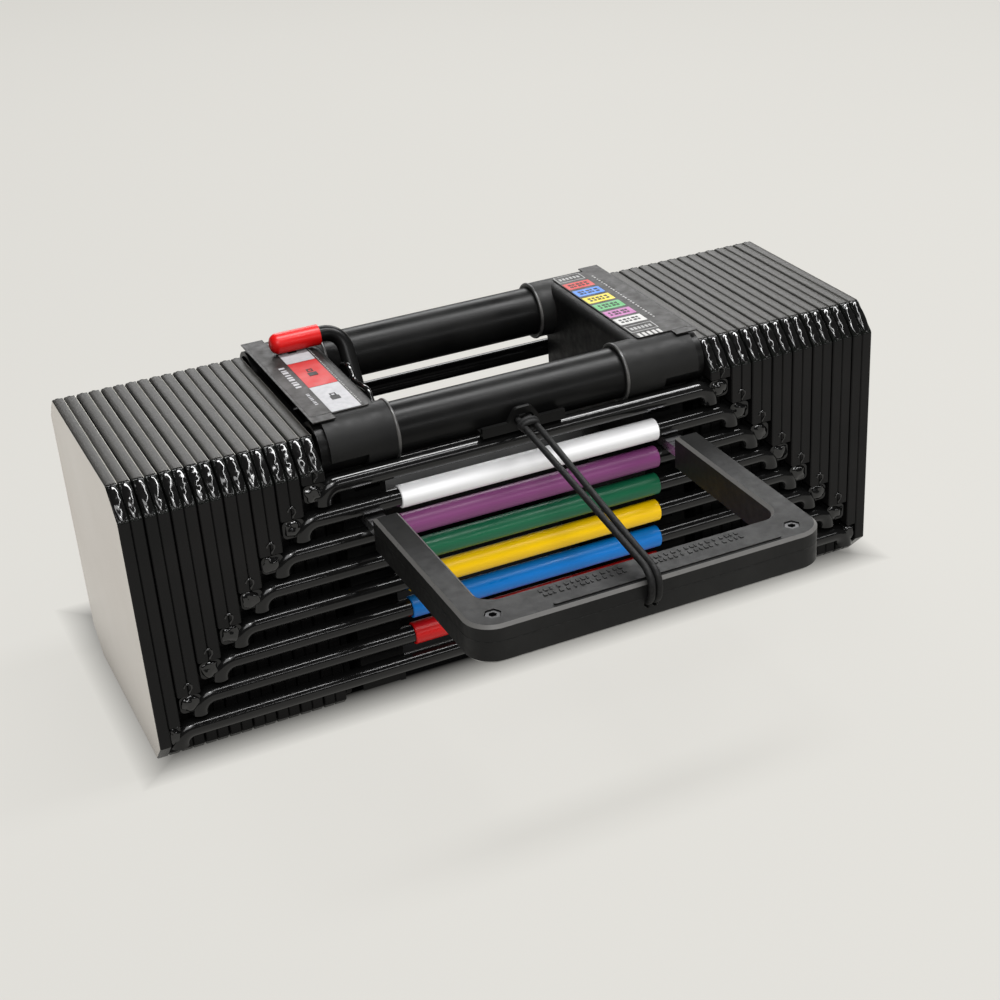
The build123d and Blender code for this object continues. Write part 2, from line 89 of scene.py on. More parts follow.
class Shader:
    """A Principled material that is built up node by node."""

    def __init__(self, name, base=(0.5, 0.5, 0.5), rough=0.5, **sockets):
        self.material = bpy.data.materials.new(name)
        self.material.use_nodes = True
        self.tree = self.material.node_tree
        self.bsdf = self.tree.nodes["Principled BSDF"]
        self.set("Base Color", (*base, 1))
        self.set("Roughness", rough)
        for socket, value in sockets.items():
            self.set(socket.replace("_", " "), value)
        self.bumped = None

    def set(self, socket, value):
        self.bsdf.inputs[socket].default_value = value

    def node(self, kind, links=None, **settings):
        made = self.tree.nodes.new(kind)
        for key, value in settings.items():
            setattr(made, key, value)
        for socket, source in (links or {}).items():
            self.feed(made.inputs[socket], source)
        return made

    def feed(self, socket, source):
        if isinstance(source, bpy.types.NodeSocket):
            self.tree.links.new(source, socket)
        else:
            socket.default_value = source

    def place(self, scale=(1, 1, 1)):
        """The point on the object, in metres times scale."""
        spot = self.node("ShaderNodeTexCoord").outputs["Object"]
        return self.node("ShaderNodeMapping", {"Vector": spot, "Scale": scale}).outputs["Vector"]

    def noise(self, scale, detail=3, roughness=0.5, stretch=(1, 1, 1), distortion=0.0):
        made = self.node(
            "ShaderNodeTexNoise",
            {
                "Vector": self.place(stretch),
                "Scale": scale,
                "Detail": detail,
                "Roughness": roughness,
                "Distortion": distortion,
            },
        )
        return made.outputs["Fac"]

    def math(self, operation, first, second=0.0):
        made = self.node("ShaderNodeMath", operation=operation)
        self.feed(made.inputs[0], first)
        self.feed(made.inputs[1], second)
        return made.outputs[0]

    def spread(self, value, low, high, to_low=0.0, to_high=1.0):
        links = {"Value": value, "From Min": low, "From Max": high, "To Min": to_low, "To Max": to_high}
        return self.node("ShaderNodeMapRange", links).outputs["Result"]

    def blend(self, mask, first, second):
        made = self.node("ShaderNodeMix", data_type="RGBA")
        for socket, source in zip((made.inputs[0], made.inputs[6], made.inputs[7]), (mask, first, second)):
            self.feed(socket, (*source, 1) if isinstance(source, tuple) else source)
        return made.outputs[2]

    def color(self, source):
        self.feed(self.bsdf.inputs["Base Color"], source)

    def rough(self, source):
        self.feed(self.bsdf.inputs["Roughness"], source)

    def bump(self, height, strength, distance):
        links = {"Height": height, "Strength": strength, "Distance": distance * MM}
        made = self.node("ShaderNodeBump", links)
        if self.bumped:
            self.tree.links.new(self.bumped, made.inputs["Normal"])
        self.bumped = made.outputs["Normal"]
        self.tree.links.new(self.bumped, self.bsdf.inputs["Normal"])

    def facing(self, axis):
        """How far the true face turns towards an axis, from -1 to 1."""
        normal = self.node("ShaderNodeNewGeometry").outputs["True Normal"]
        parts = self.node("ShaderNodeSeparateXYZ", {"Vector": normal})
        return parts.outputs[axis]

    def along(self, axis):
        """The point's place along an axis, in metres."""
        return self.node("ShaderNodeSeparateXYZ", {"Vector": self.place()}).outputs[axis]


def dress(piece, material):
    """Gives a piece one material."""
    piece.data.materials.clear()
    piece.data.materials.append(material)


# ---------------------------------------------------------------- materials


def plate_paint():
    """Black paint: dull on sheared edges, thick and glossy at the corners, with painted light: a lighter
    sheen on the tops, highlights on the top edges and a pale reflection on the two ends.
    """
    m = Shader("plate paint", base=(0.010, 0.010, 0.0095), rough=0.42, Specular_IOR_Level=0.16)
    lengthwise = m.math("ABSOLUTE", m.facing("X"))
    across = m.math("ABSOLUTE", m.facing("Y"))
    upward = m.facing("Z")
    tilted = m.spread(m.math("ABSOLUTE", upward), 0.12, 0.3)
    corner = m.math("MULTIPLY", m.spread(across, 0.12, 0.35), tilted)
    top = m.spread(upward, 0.8, 0.95)
    bevel = m.math("SUBTRACT", m.spread(lengthwise, 0.3, 0.5), m.spread(lengthwise, 0.9, 0.97))
    top_bevel = m.math("MULTIPLY", bevel, m.spread(upward, 0.3, 0.6))
    lit_bevel = m.math("MULTIPLY", top_bevel, m.spread(m.facing("X"), -0.1, 0.1))
    outside = m.spread(m.math("ABSOLUTE", m.along("X")), half_length - 0.3 * MM, half_length - 0.2 * MM)
    end = m.math("MULTIPLY", outside, m.spread(lengthwise, 0.9, 0.95))
    cloud = m.noise(22, detail=4)
    grain = m.noise(1300, detail=2)
    side_color = m.blend(m.spread(cloud, 0.35, 0.7), (0.0035, 0.0035, 0.0035), (0.0065, 0.006, 0.006))
    # The tops are lighter than the sides: a painted sheen from the light above, with a real grain in it.
    top_grain_and_painted_sheen = m.blend(m.spread(grain, 0.3, 0.75), (0.016, 0.0155, 0.0145), (0.050, 0.048, 0.044))
    color = m.blend(top, side_color, top_grain_and_painted_sheen)
    # Painted highlights on the rounded top edges, much brighter on the edges that face +x.
    color = m.blend(top_bevel, color, (0.03, 0.03, 0.028))
    color = m.blend(lit_bevel, color, (0.34, 0.33, 0.30))
    color = m.blend(corner, color, (0.004, 0.0045, 0.004))
    # Painted reflection: the outer faces of the end plates get a pale, partly metallic colour that stands
    # for the bright floor mirrored in the black paint, with random blotches.
    sheen = m.blend(m.spread(m.noise(9, detail=4), 0.3, 0.7), (0.66, 0.605, 0.555), (0.75, 0.71, 0.665))
    m.color(m.blend(end, color, sheen))
    m.feed(m.bsdf.inputs["Metallic"], m.math("MULTIPLY", end, 0.55))
    smooth = m.math("MULTIPLY", m.math("MAXIMUM", top_bevel, end), 0.16)
    m.rough(m.math("SUBTRACT", m.spread(corner, 0.0, 1.0, 0.43, 0.12), smooth))
    inward = m.math("SUBTRACT", half_length, m.math("ABSOLUTE", m.along("X")))
    in_pair = m.math("MODULO", inward, PAIR_PITCH * MM)
    in_plate = m.math("MODULO", in_pair, (PLATE + SEAM) * MM)
    from_middle = m.math("ABSOLUTE", m.math("SUBTRACT", in_plate, PLATE / 2 * MM))
    to_edge = m.math("DIVIDE", from_middle, PLATE / 2 * MM)
    rolled = m.spread(m.math("POWER", to_edge, 3.0), 0.0, 1.0, 1.0, 0.0)
    m.bump(rolled, m.math("MULTIPLY", top, 0.55), 0.9)
    m.bump(grain, m.spread(end, 0.0, 1.0, 0.35, 0.05), 0.06)
    m.bump(m.noise(160, detail=3), m.spread(end, 0.0, 1.0, 0.35, 0.03), 0.25)
    m.bump(m.noise(900, detail=2, stretch=(1, 0.12, 0.12)), m.math("MULTIPLY", corner, 0.8), 0.5)
    return m.material


def rail_paint():
    """Thick gloss black paint, with the faint waves that it dries with."""
    m = Shader("rail paint", base=(0.004, 0.004, 0.004), rough=0.12, Specular_IOR_Level=0.34)
    runs = m.noise(60, detail=2, stretch=(0.35, 1, 1))
    m.rough(m.spread(m.noise(300, detail=3), 0.35, 0.7, 0.09, 0.2))
    m.bump(runs, 0.3, 0.35)
    m.bump(m.noise(900, detail=2), 0.12, 0.03)
    return m.material


def bead_paint():
    """The same gloss paint where it lies thick and lumpy over weld metal."""
    m = Shader("bead paint", base=(0.003, 0.003, 0.003), rough=0.08, Specular_IOR_Level=0.55)
    m.rough(m.spread(m.noise(350, detail=3), 0.35, 0.7, 0.06, 0.15))
    m.bump(m.noise(420, detail=2), 0.12, 0.25)
    m.bump(m.noise(1200, detail=2), 0.08, 0.03)
    return m.material


def core_paint():
    """Satin black paint on the tubes and small steel parts."""
    m = Shader("core paint", base=(0.008, 0.008, 0.008), rough=0.34, Specular_IOR_Level=0.12)
    cloud = m.noise(35, detail=4)
    m.color(m.blend(m.spread(cloud, 0.35, 0.7), (0.003, 0.003, 0.003), (0.006, 0.006, 0.0058)))
    m.rough(m.spread(cloud, 0.3, 0.7, 0.28, 0.4))
    m.bump(m.noise(1100, detail=2), 0.25, 0.04)
    return m.material


def black_moulding():
    """Charcoal moulded plastic with a fine spark-eroded grain."""
    m = Shader("black moulding", base=(0.012, 0.012, 0.012), rough=0.45, Specular_IOR_Level=0.15)
    cloud = m.noise(18, detail=5)
    m.color(m.blend(m.spread(cloud, 0.35, 0.72), (0.005, 0.005, 0.005), (0.011, 0.011, 0.0105)))
    m.rough(m.spread(m.noise(240, detail=4), 0.3, 0.7, 0.4, 0.58))
    m.bump(m.noise(2200, detail=2), 0.35, 0.04)
    return m.material


def lip_highlight_moulding():
    """The moulding's plastic, smoother and pale in patches: a painted highlight along the collar lips."""
    m = Shader("moulding with painted highlight", base=(0.05, 0.05, 0.05), rough=0.28)
    highlight_patches = m.spread(m.noise(70, detail=4), 0.35, 0.65)
    # Painted highlight: the pale colour stands for the glint along the lips, patchy at random.
    m.color(m.blend(highlight_patches, (0.012, 0.012, 0.012), (0.075, 0.073, 0.070)))
    m.rough(m.spread(highlight_patches, 0.0, 1.0, 0.4, 0.25))
    m.bump(m.noise(900, detail=2), 0.2, 0.04)
    return m.material


def pin_moulding():
    """The pin's charcoal plastic: fine grain, with its cut edges smoother and a painted highlight that
    makes them lighter.
    """
    m = Shader("pin moulding", base=(0.014, 0.014, 0.014), rough=0.5, Specular_IOR_Level=0.16)
    upward = m.math("ABSOLUTE", m.facing("Z"))
    edge = m.math("SUBTRACT", m.spread(upward, 0.3, 0.5), m.spread(upward, 0.9, 0.97))
    cloud = m.spread(m.noise(18, detail=5), 0.35, 0.72)
    plain = m.blend(cloud, (0.006, 0.006, 0.006), (0.013, 0.013, 0.0125))
    # Painted highlight: the chamfered edges get a lighter colour for the glint along them.
    m.color(m.blend(edge, plain, (0.085, 0.083, 0.080)))
    grained = m.spread(m.noise(240, detail=4), 0.3, 0.7, 0.42, 0.58)
    m.rough(m.math("SUBTRACT", grained, m.math("MULTIPLY", edge, 0.16)))
    m.bump(m.noise(2200, detail=2), 0.35, 0.05)
    m.bump(m.noise(500, detail=3), 0.2, 0.08)
    return m.material


def bright_steel():
    """Zinc-plated steel, brushed along the block."""
    m = Shader("bright steel", base=(0.55, 0.55, 0.57), rough=0.3, Metallic=1.0)
    lines = m.noise(900, detail=3, stretch=(0.04, 1, 1))
    m.rough(m.spread(lines, 0.3, 0.7, 0.22, 0.42))
    m.color(m.blend(m.spread(m.noise(40, detail=4), 0.3, 0.7), (0.46, 0.46, 0.48), (0.62, 0.61, 0.6)))
    m.bump(lines, 0.25, 0.03)
    return m.material


def grip_rubber():
    """Black rubber with a fine knurl of diamonds round the grip."""
    m = Shader("grip rubber", base=(0.012, 0.012, 0.012), rough=0.7, Specular_IOR_Level=0.25)
    patches = m.spread(m.noise(90, detail=4), 0.3, 0.7)
    m.color(m.blend(patches, (0.008, 0.008, 0.008), (0.016, 0.016, 0.0155)))
    links = {"Vector": m.place(), "Scale": 520.0}
    cells = m.node("ShaderNodeTexVoronoi", links, feature="DISTANCE_TO_EDGE").outputs["Distance"]
    m.bump(m.spread(cells, 0.0, 0.12), 0.3, 0.12)
    return m.material


def vinyl(name, color, deep):
    """Dipped soft vinyl: even colour, mild gloss, and faint lengthwise drag marks."""
    m = Shader(name, base=color, rough=0.34, Specular_IOR_Level=0.3)
    m.color(m.blend(m.spread(m.noise(45, detail=4, stretch=(0.3, 1, 1)), 0.32, 0.7), deep, color))
    m.rough(m.spread(m.noise(260, detail=3, stretch=(0.2, 1, 1)), 0.3, 0.7, 0.27, 0.42))
    m.bump(m.noise(500, detail=3, stretch=(0.15, 1, 1)), 0.2, 0.06)
    return m.material


def elastic():
    """Braided black cover of a bungee cord."""
    m = Shader("elastic", base=(0.006, 0.006, 0.006), rough=0.62, Specular_IOR_Level=0.2)
    links = {"Vector": m.place((1, 1, 1)), "Scale": 900.0}
    cells = m.node("ShaderNodeTexVoronoi", links, feature="SMOOTH_F1").outputs["Distance"]
    m.color(m.blend(m.spread(cells, 0.1, 0.7), (0.010, 0.010, 0.010), (0.003, 0.003, 0.003)))
    m.bump(cells, 0.6, 0.2)
    return m.material


def black_oxide():
    m = Shader("black oxide", base=(0.02, 0.02, 0.021), rough=0.3, Metallic=0.8)
    m.rough(m.spread(m.noise(700, detail=3), 0.3, 0.7, 0.24, 0.42))
    m.bump(m.noise(1400, detail=2), 0.2, 0.03)
    return m.material


def label_film():
    """Dark satin film that the label symbols are printed on."""
    m = Shader("label film", base=(0.02, 0.02, 0.02), rough=0.48, Specular_IOR_Level=0.12)
    patches = m.spread(m.noise(60, detail=4), 0.3, 0.7)
    m.color(m.blend(patches, (0.010, 0.0095, 0.009), (0.018, 0.017, 0.016)))
    m.rough(m.spread(m.noise(400, detail=3), 0.3, 0.7, 0.33, 0.47))
    m.bump(m.noise(900, detail=2), 0.15, 0.03)
    return m.material


looks = {
    "plate_paint": plate_paint(),
    "rail_paint": rail_paint(),
    "core_paint": core_paint(),
    "bright_steel": bright_steel(),
    "grip_rubber": grip_rubber(),
    "black_moulding": black_moulding(),
    "label_film": label_film(),
    "black_screw": black_oxide(),
    "magnet": bright_steel(),
    "elastic": elastic(),
    "white_vinyl": vinyl("white vinyl", (0.80, 0.80, 0.80), (0.70, 0.70, 0.71)),
    "purple_vinyl": vinyl("purple vinyl", (0.185, 0.046, 0.150), (0.150, 0.035, 0.125)),
    "green_vinyl": vinyl("green vinyl", (0.006, 0.110, 0.048), (0.004, 0.085, 0.038)),
    "yellow_vinyl": vinyl("yellow vinyl", (0.90, 0.56, 0.0), (0.80, 0.48, 0.0)),
    "blue_vinyl": vinyl("blue vinyl", (0.0, 0.155, 0.52), (0.0, 0.13, 0.44)),
    "red_vinyl": vinyl("red vinyl", (0.52, 0.004, 0.004), (0.44, 0.003, 0.003)),
}
bead = bead_paint()
# Moulding with a painted highlight, for the collar lips.
lip_highlight = lip_highlight_moulding()
pin_plastic = pin_moulding()
for subpart in frame["record"]["subparts"]:
    dress(nodes[subpart["node"]], looks[subpart["material_slot"]])
for name in ("pin_upper_shell", "pin_lower_shell"):
    dress(nodes[name], pin_plastic)


def add_piece(name, shape, material, body):
    """Turns a bmesh into a piece that rides on a body."""
    mesh = bpy.data.meshes.new(name)
    shape.to_mesh(mesh)
    shape.free()
    piece = bpy.data.objects.new(name, mesh)
    scene.collection.objects.link(piece)
    dress(piece, material)
    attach(piece, body)
    return piece


def at(x, y, z):
    """A point given in millimetres from the block's middle."""
    return Vector((x * MM, middle_y + y * MM, z * MM))


# ---------------------------------------------------------------- weld beads

RECESS_Y = 59.5
WELD_Y = RECESS_Y + 4.3
SQUARENESS = 0.86
CORNER_Y, CORNER_Z = 63, 149
CAP_LENGTH, CAP_WIDTH, CAP_PROUD = 9.6, 2.85, 1.25
CURL_Y = -69.9
CURL_LIFT = 0.6
CURL_WIDE, CURL_TALL, CURL_RADIUS = 1.9, 2.1, 0.6
BALL_STEPS = 4


def lump(shape, centre, radii, seed):
    """One blob of weld metal: a squarish ball that is pushed in and out, with a few ripples."""
    ball = bmesh.ops.create_icosphere(shape, subdivisions=BALL_STEPS, radius=1.0)
    for vertex in ball["verts"]:
        way = vertex.co.copy()
        broad = 0.13 * noise.noise(way * 2.1 + Vector((seed, 0, 0)))
        fine = 0.03 * noise.noise(way * 5 + Vector((0, seed, 0)))
        ripple = 0.035 * sin(7 * way.x + 4 * way.z + seed)
        size = 1 + (broad + fine) + ripple
        square = [(abs(part) ** SQUARENESS) * (1 if part > 0 else -1) for part in way]
        vertex.co = centre + Vector([square[i] * radii[i] * size * MM for i in range(3)])


def weld_beads(pair):
    """The lumps of weld that hold a pair's four rail ends to its plates."""
    shape = bmesh.new()
    z = rail_height(pair)
    edge = pair_edge(pair)
    for end in (-1, 1):
        for face in (-1, 1):
            seed = pair * 3.7 + end * 11.3 + face * 5.1
            x = edge - PLATE - SEAM if pair < 8 else edge - 1.5 * PLATE - SEAM
            wide = 6.2 if pair < 8 else 4.4
            y = face * WELD_Y
            lump(shape, at(end * x, y, z - 0.8), (wide, 5.7, 6.0), seed)
            lump(shape, at(end * (x + 1.5), y - face * 1.0, z + 2.8), (wide * 0.62, 4.6, 3.4), seed + 2)
            lump(shape, at(end * (x - 3.4), y - face * 0.4, z - 2.2), (4.2, 4.9, 4.4), seed + 4)
    for each in shape.faces:
        each.smooth = True
    add_piece(f"pair_{pair}_weld_beads", shape, bead, f"pair_{pair}")


def corner_caps(pair):
    """Thick paint that stands proud on the cut corner of each plate, front and back."""
    shape = bmesh.new()
    slope = Vector((0, 1, -1)).normalized()
    outward = Vector((0, 1, 1)).normalized()
    for index in range(2):
        x = pair_edge(pair) - PLATE / 2 - index * (PLATE + SEAM)
        for end in (-1, 1):
            for face in (-1, 1):
                seed = pair * 2.3 + index * 7.1 + end * 3.9 + face * 1.7
                ball = bmesh.ops.create_icosphere(shape, subdivisions=BALL_STEPS, radius=1.0)
                for vertex in ball["verts"]:
                    way = vertex.co.copy()
                    swell = 1 + 0.25 * noise.noise(Vector((way.x * 1.3, way.y * 3.5, seed)))
                    down = slope * (CAP_LENGTH * way.y)
                    out = outward * (CAP_PROUD * swell * way.z)
                    spot = Vector((CAP_WIDTH * way.x, CORNER_Y, CORNER_Z)) + down + out
                    vertex.co = at(end * x + spot.x, face * spot.y, spot.z)
    for each in shape.faces:
        each.smooth = True
    bmesh.ops.recalc_face_normals(shape, faces=shape.faces)
    add_piece(f"pair_{pair}_corner_caps", shape, bead, f"pair_{pair}")


for pair in PAIRS:
    weld_beads(pair)
    corner_caps(pair)


def ring(shape, centre, axis, major, minor, steps=64, sides=12):
    """A closed bead round a centre, in the plane across an axis; major gives its two half widths."""
    axis = axis.normalized()
    first = Vector((1, 0, 0)) if abs(axis.x) < 0.7 else Vector((0, 1, 0))
    first = (first - first.project(axis)).normalized()
    second = axis.cross(first)
    loops = []
    for k in range(steps):
        a = 2 * pi * k / steps
        out = (first * cos(a) * major[0] + second * sin(a) * major[1]) * MM
        way = (first * cos(a) + second * sin(a)).normalized()
        turns = [2 * pi * i / sides for i in range(sides)]
        bead_points = [centre + out + minor * MM * (way * cos(b) + axis * sin(b)) for b in turns]
        loops.append([shape.verts.new(point) for point in bead_points])
    for one, two in zip(loops, loops[1:] + loops[:1]):
        for i in range(sides):
            shape.faces.new((one[i], one[(i + 1) % sides], two[(i + 1) % sides], two[i])).smooth = True


TUBE_Y, TUBE_Z = 51.0, 146.2
LEFT_COLLAR_INNER = 65.8
LIP_RADIUS, LIP_THICK, LIP_INSET = 15.1, 0.95, 0.9


def collar_lips():
    """The rolled lip on the inner end of each collar."""
    for place, side in SIDES:
        low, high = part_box(f"{place}_housing")
        inner = min(abs(low.x), abs(high.x)) / MM if side > 0 else LEFT_COLLAR_INNER
        shape = bmesh.new()
        for y in (-TUBE_Y, TUBE_Y):
            centre = at(side * (inner + LIP_INSET), y, TUBE_Z)
            ring(shape, centre, Vector((1, 0, 0)), (LIP_RADIUS, LIP_RADIUS), LIP_THICK)
        # The lips are dressed in the moulding with the painted highlight.
        add_piece(f"{place}_collar_lips", shape, lip_highlight, "core")


collar_lips()


TAPER = 0.55


def rod_along(shape, path, radius, sides=10):
    """A round bead of one radius, in millimetres, along a path of points."""
    rows = []
    for index, point in enumerate(path):
        ahead = (path[min(index + 1, len(path) - 1)] - path[max(index - 1, 0)]).normalized()
        side = Vector((1, 0, 0)) if abs(ahead.x) < 0.8 else Vector((0, 1, 0))
        across = ahead.cross(side).normalized()
        up = ahead.cross(across)
        thin = TAPER if index in (0, len(path) - 1) else 1.0
        turns = [2 * pi * k / sides for k in range(sides)]
        spots = [point + radius * thin * MM * (across * cos(a) + up * sin(a)) for a in turns]
        rows.append([shape.verts.new(spot) for spot in spots])
    for one, two in zip(rows, rows[1:]):
        for k in range(sides):
            shape.faces.new((one[k], one[(k + 1) % sides], two[(k + 1) % sides], two[k])).smooth = True
    shape.faces.new(rows[0])
    shape.faces.new(rows[-1])
    bmesh.ops.recalc_face_normals(shape, faces=shape.faces)


def seam_curls(pair):
    """The small hook of paint where each seam of a pair's plates ends above its front weld."""
    shape = bmesh.new()
    z = rail_height(pair) + ROD_RADIUS + CURL_LIFT
    for end in (-1, 1):
        middle = end * (pair_edge(pair) - PLATE - SEAM / 2)
        path = []
        for k in range(13):
            a = pi * (1.05 - 1.35 * k / 12)
            path.append(at(middle + CURL_WIDE * cos(a), CURL_Y, z + 4.6 + CURL_TALL * sin(a)))
        path += [at(middle + 0.4, CURL_Y, z + 1.8), at(middle, CURL_Y + 0.1, z + 0.3)]
        rod_along(shape, path, CURL_RADIUS, sides=8)
    add_piece(f"pair_{pair}_seam_curls", shape, bead, f"pair_{pair}")


for pair in range(1, 8):
    seam_curls(pair)

BOLT_RADIUS = 4.8
RIM_RADIUS = 1.55
RIM_STEPS = 6
GATE_EDGE = [(9, 0), (24, 30), (20, 39), (10, 42), (3, 36), (-17, 39), (-24, 32), (-9, 0)]


def gate_rim():
    """The thick rolled rim of the lever's gate."""
    low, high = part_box("lock_gate")
    hinge_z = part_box("pivot_bolt")[0].z / MM + BOLT_RADIUS
    middle = (low.x + high.x) / 2 / MM
    path = []
    for (y0, z0), (y1, z1) in zip(GATE_EDGE, GATE_EDGE[1:]):
        for k in range(RIM_STEPS):
            t = k / RIM_STEPS
            path.append(at(middle, y0 + t * (y1 - y0), hinge_z + z0 + t * (z1 - z0)))
    eased = [(a + 2 * b + c) / 4 for a, b, c in zip(path, path[1:], path[2:])]
    smooth = [path[0]] + eased + [path[-1]]
    shape = bmesh.new()
    rod_along(shape, smooth, RIM_RADIUS)
    add_piece("lock_gate_rim", shape, bead, "lever")


gate_rim()

# ---------------------------------------------------------------- labels


def tile(shape, x0, x1, y0, y1, z, thick=0.12, round_by=0.6, steps=4):
    """A thin printed patch with rounded corners, lying flat."""
    low = []
    for cx, cy, start in ((x1, y1, 0), (x0, y1, 1), (x0, y0, 2), (x1, y0, 3)):
        inward = Vector((-1 if cx == x1 else 1, -1 if cy == y1 else 1)) * round_by
        for k in range(steps + 1):
            a = (start + k / steps) * pi / 2
            spot = Vector((cx, cy)) + inward + round_by * Vector((cos(a), sin(a)))
            low.append(at(spot.x, spot.y, z))
    bottom = [shape.verts.new(point) for point in low]
    top = [shape.verts.new(point + Vector((0, 0, thick * MM))) for point in low]
    shape.faces.new(top)
    shape.faces.new(list(reversed(bottom)))
    count = len(low)
    for k in range(count):
        shape.faces.new((bottom[k], bottom[(k + 1) % count], top[(k + 1) % count], top[k]))


def ink(name, color, rough=0.46):
    """Printed ink on film: a fine print grain and slight fading."""
    m = Shader(name, base=color, rough=rough, Specular_IOR_Level=0.16)
    faded = tuple(0.82 * c + 0.012 for c in color)
    m.color(m.blend(m.spread(m.noise(420, detail=3), 0.35, 0.72), color, faded))
    m.rough(m.spread(m.noise(160, detail=3), 0.3, 0.7, rough - 0.08, rough + 0.1))
    m.bump(m.noise(1200, detail=2), 0.15, 0.02)
    return m.material


LABEL_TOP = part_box("left_label_plate")[1].z / MM
inks = {
    "white": ink("white ink", (0.36, 0.355, 0.345)),
    "silver": ink("silver ink", (0.30, 0.30, 0.31)),
    "red": ink("red ink", (0.34, 0.036, 0.032)),
    "signal": ink("signal ink", (0.34, 0.02, 0.02)),
    "blue": ink("blue ink", (0.055, 0.15, 0.42)),
    "yellow": ink("yellow ink", (0.45, 0.37, 0.04)),
    "green": ink("green ink", (0.075, 0.25, 0.10)),
    "purple": ink("purple ink", (0.28, 0.10, 0.23)),
    "dark": ink("dark ink", (0.006, 0.006, 0.006)),
    "grey": ink("grey ink", (0.24, 0.24, 0.235)),
    "band": ink("band ink", (0.016, 0.015, 0.014)),
}


def patch(name, color, spots, layer=1):
    """Several printed patches of one ink, as one piece on the core."""
    shape = bmesh.new()
    for x0, x1, y0, y1, round_by in spots:
        tile(shape, x0, x1, y0, y1, LABEL_TOP + 0.05 * (layer - 1), 0.05 + 0.05 * layer, round_by)
    add_piece(name, shape, inks[color], "core")


def frame_lines(x0, x1, y0, y1, wide=0.5):
    """The four strips of an outlined box."""
    return [
        (x0, x1, y0, y0 + wide, 0.1),
        (x0, x1, y1 - wide, y1, 0.1),
        (x0, x0 + wide, y0 + wide, y1 - wide, 0.1),
        (x1 - wide, x1, y0 + wide, y1 - wide, 0.1),
    ]


def dashes(x0, x1, y0, y1, count, share=0.62):
    """A row of short strokes between y0 and y1, of uneven length, that stands for small print."""
    spots = []
    step = (y1 - y0) / count
    for k in range(count):
        reach = step * share * (0.75 + 0.25 * sin(2.4 * k))
        spots.append((x0, x1, y0 + k * step, y0 + k * step + reach, 0.08))
    return spots


def left_label():
    """Three boxes that show where the lever is closed, open and closed, with plain lock signs."""
    inner, outer = -79.0, -94.5
    patch("left_label_band", "band", [(-105.5, -77.0, -50.0, 50.0, 1.2)])
    closed = [(outer, inner, -50.2, -17.2, 0.5), (outer, inner, 17.2, 49.0, 0.5)]
    patch("left_label_closed", "silver", closed, 2)
    patch("left_label_open", "signal", [(outer, inner, -16.8, 16.8, 0.5)], 2)
    signs = []
    for y, lift in ((-33.5, 0.0), (0.0, 1.3), (33.5, 0.0)):
        signs += [(-89.2, -84.4, y - 3.4, y + 1.2, 0.5)]
        signs += frame_lines(-88.4, -85.2, y + 1.0 + lift, y + 4.6 + lift, 0.8)
    patch("left_label_signs", "dark", signs, 3)
    patch("left_label_strokes", "grey", dashes(-78.3, -77.7, -47, 47, 44), 2)
    marks = dashes(-100.2, -97.2, -14, 16, 9, 0.74) + dashes(-98.6, -97.0, -38, -22, 8)
    patch("left_label_marks", "silver", marks, 2)


def right_label():
    """Ladder of coloured boxes, one for each pair of plates."""
    inner, outer = 75.6, 91.8
    pitch, deep = 12.1, 9.4
    first = 50.8
    patch("right_label_band", "band", [(75.2, 105.5, -50.8, 50.8, 1.2)])
    for step, color in enumerate(("red", "blue", "yellow", "green", "purple", "white"), start=1):
        back = first - step * pitch
        patch(f"right_label_{color}", color, [(inner, outer, back - deep, back, 0.4)], 2)
        strokes = []
        for row in (0.30, 0.62):
            y = back - deep * row
            for k in range(5):
                x = inner + 2.2 + 2.5 * k
                strokes.append((x, x + 1.6 + 0.4 * sin(3 * k + step), y - 1.1, y + 0.7, 0.1))
        patch(f"right_label_{color}_strokes", "dark", strokes, 3)
    last = first - 7 * pitch
    outlined = frame_lines(inner, outer, first - deep, first)
    outlined += frame_lines(inner, outer, last - deep, last)
    for back in (first, last):
        for k in range(6):
            x = inner + 1.8 + 2.2 * k
            outlined.append((x, x + 1.4, back - deep * 0.68, back - deep * 0.34, 0.1))
    patch("right_label_outlined", "grey", outlined, 2)
    bars = [(inner + 1.5 + 2.9 * k, inner + 3.2 + 2.9 * k, -50.6, -45.6, 0.2) for k in range(5)]
    patch("right_label_bars", "white", bars, 2)
    side = dashes(96.0, 97.0, -30, 44, 26)
    patch("right_label_side_marks", "grey", side, 2)


left_label()
right_label()

# ---------------------------------------------------------------- moulded marks on the pin

shell_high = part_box("pin_upper_shell")[1]
PARTING_Z = 110.25


def moulded_marks():
    """Rows of small raised strokes on top of the pin's handle."""
    shape = bmesh.new()
    top = shell_high.z / MM - 0.8
    for row, y in enumerate((-188.5, -192.5)):
        for k in range(34):
            x = -52 + 3.1 * k + 0.7 * sin(5.3 * k + row)
            if abs(x + 4) < 6:
                continue
            wide = 1.5 + 0.5 * sin(2.1 * k + row)
            tile(shape, x, x + wide, y - 1.3, y + 1.1, top, 0.35, 0.3, 2)
    add_piece("pin_moulded_marks", shape, pin_plastic, "selector_pin")


